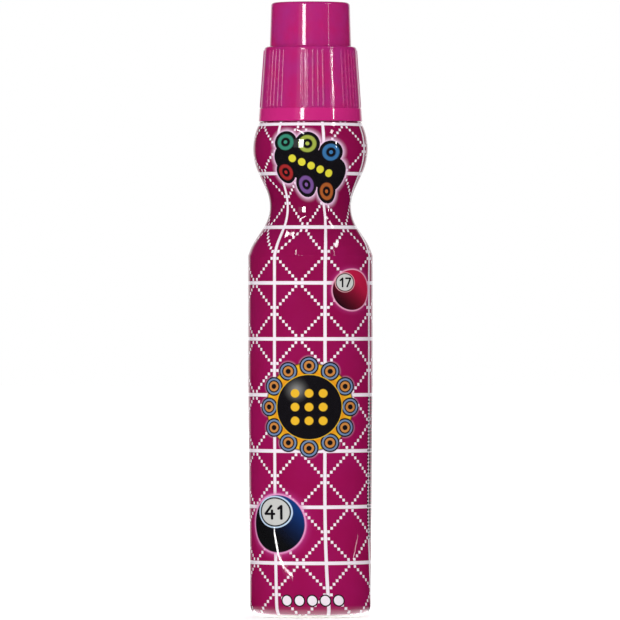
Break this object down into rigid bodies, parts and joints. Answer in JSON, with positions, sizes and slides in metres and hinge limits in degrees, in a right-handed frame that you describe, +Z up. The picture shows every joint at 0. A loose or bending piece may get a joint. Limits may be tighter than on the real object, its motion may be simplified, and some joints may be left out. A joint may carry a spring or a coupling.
{
  "type": "bingo dauber",
  "caption": "Waisted squeeze bottle of marking ink with a printed sleeve, a sprung valve pad that prints round dots, and a ribbed screw cap.",
  "frame": {"origin": "middle of the base, on the surface that the dauber stands on", "axes": "+Z up along the bottle's axis to the cap; the printed front faces -Y, so +X is to the right of someone facing it"},
  "size_m": [0.0284, 0.0284, 0.14],
  "materials": {
    "bottle_plastic": "natural white blown polyethylene, satin",
    "printed_film": "glossy shrunk film, magenta with white lines",
    "ink": "magenta marking ink",
    "white_plastic": "moulded, satin",
    "spring_steel": "drawn wire",
    "seal_rubber": "smooth",
    "foam": "open-cell foam soaked with ink",
    "tip_fabric": "fine woven nylon stained with ink",
    "liner_foam": "closed-cell foam",
    "cap_plastic": "moulded magenta, glossy"
  },
  "bodies": {
    "bottle": {"bottle": "bottle_plastic", "label_sleeve": "printed_film", "ink_fill": "ink", "applicator_housing": "white_plastic", "return_spring": "spring_steel"},
    "applicator": {"valve_stem": "white_plastic", "valve_seal": "seal_rubber", "pad_carrier": "white_plastic", "foam_pad": "foam", "fabric_cover": "tip_fabric", "retaining_ring": "white_plastic"},
    "cap_liner": {"cap_liner": "liner_foam"},
    "cap": {"cap": "cap_plastic"}
  },
  "joints": [
    {"name": "tip_press", "type": "slide", "parent": "bottle", "child": "applicator", "axis": [0, 0, -1], "range_m": [0, 0.0025], "stiffness_N_per_m": 600, "springref_m": -0.003, "deforming": ["return_spring"]},
    {"name": "cap_rise", "type": "slide", "parent": "bottle", "child": "cap_liner", "axis": [0, 0, 1], "range_m": [0, 0.0273]},
    {"name": "cap_turn", "type": "hinge", "parent": "cap_liner", "child": "cap", "pos_m": [0, 0, 0.1127], "axis": [0, 0, 1], "range_deg": [0, 3060]}
  ],
  "couplings": [
    {"joint": "cap_rise", "follows": "cap_turn", "m_per_rad": 0.0005093}
  ]
}
